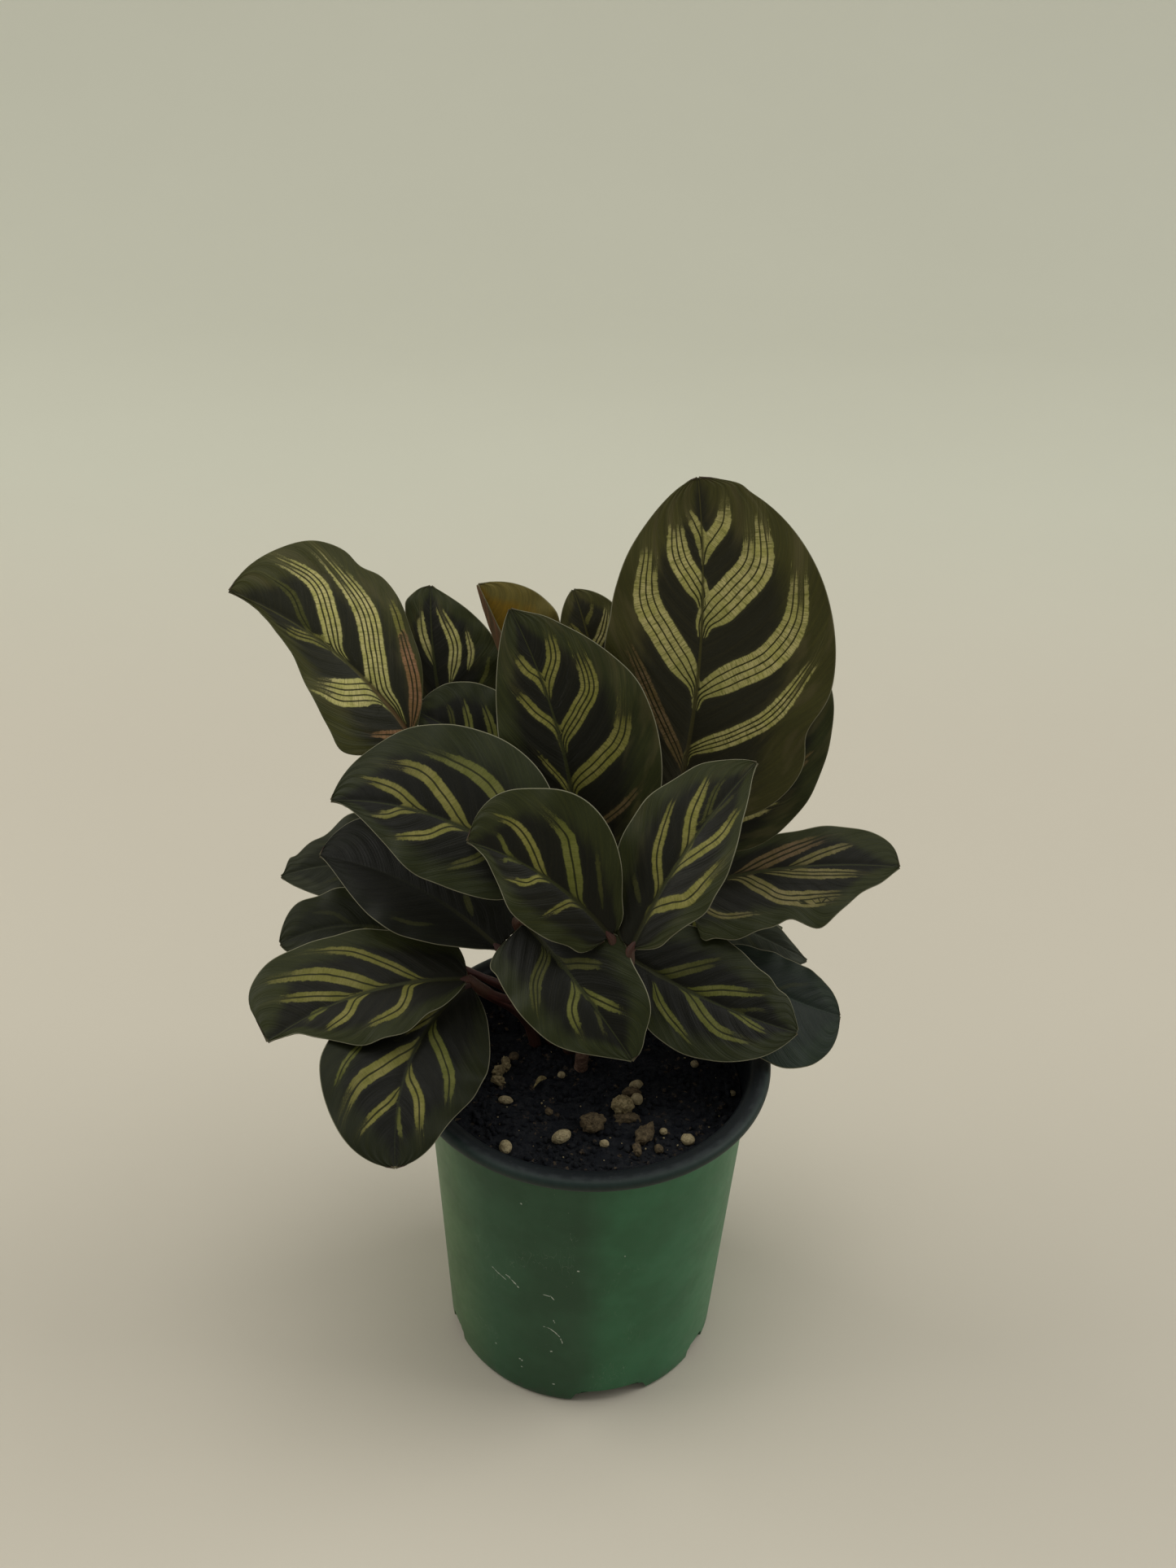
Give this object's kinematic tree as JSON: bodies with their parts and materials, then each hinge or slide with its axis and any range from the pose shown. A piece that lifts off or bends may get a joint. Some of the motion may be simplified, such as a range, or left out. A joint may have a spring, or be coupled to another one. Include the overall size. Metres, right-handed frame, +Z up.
{
  "type": "potted calathea",
  "caption": "Calathea with dark, cream-feathered leaves on slender purple stalks, growing in a round tapered green nursery pot with a dark rolled lip.",
  "frame": {"origin": "on the pot's axis, on the flat underside of the pot", "axes": "+Z up along the pot's axis; +Y away from the front of the plant, where the camera stands; +X to the right seen from the front"},
  "size_m": [0.1992, 0.1408, 0.2741],
  "materials": {
    "pot": "satin",
    "soil": "loose moist peat and bark mix",
    "leaf": "satin leaf with cream-green feathering",
    "young_leaf": "satin young leaf, golden olive",
    "stalk": "satin purple-brown stalk",
    "pumice": "rough porous grit",
    "bark": "rough crumb"
  },
  "bodies": {
    "root": {"pot": "pot", "soil": "soil", "cut_stub": "stalk", "leaf_tall_right": "leaf", "leaf_right_rear": "leaf", "leaf_top_left": "leaf", "leaf_rear_left": "leaf", "leaf_tucked_left": "leaf", "leaf_centre_upright": "leaf", "leaf_broad_left": "leaf", "leaf_front_right": "leaf", "leaf_front_left": "leaf", "leaf_far_right": "leaf", "leaf_low_right_inner": "leaf", "leaf_low_right_outer": "leaf", "leaf_lower_right": "leaf", "leaf_lower_centre": "leaf", "leaf_lower_left": "leaf", "leaf_hanging_left": "leaf", "leaf_dark_left": "leaf", "leaf_rear_low_left": "leaf", "leaf_side_low_left": "leaf", "leaf_young_rolled": "young_leaf", "leaf_rear_centre": "leaf", "leaf_far_side_right": "leaf", "leaf_far_side_left": "leaf", "leaf_far_side_low_right": "leaf", "leaf_far_side_low_left": "leaf", "stem_tall_right": "stalk", "stem_right_rear": "stalk", "stem_top_left": "stalk", "stem_rear_left": "stalk", "stem_tucked_left": "stalk", "stem_centre_upright": "stalk", "stem_broad_left": "stalk", "stem_front_right": "stalk", "stem_front_left": "stalk", "stem_far_right": "stalk", "stem_low_right_inner": "stalk", "stem_low_right_outer": "stalk", "stem_lower_right": "stalk", "stem_lower_centre": "stalk", "stem_lower_left": "stalk", "stem_hanging_left": "stalk", "stem_dark_left": "stalk", "stem_rear_low_left": "stalk", "stem_side_low_left": "stalk", "stem_young_rolled": "stalk", "stem_rear_centre": "stalk", "stem_far_side_right": "stalk", "stem_far_side_left": "stalk", "stem_far_side_low_right": "stalk", "stem_far_side_low_left": "stalk", "pumice_oval": "pumice", "pumice_round": "pumice", "pumice_left": "pumice", "bark_round": "bark", "bark_wedge": "bark"}
  },
  "joints": []
}
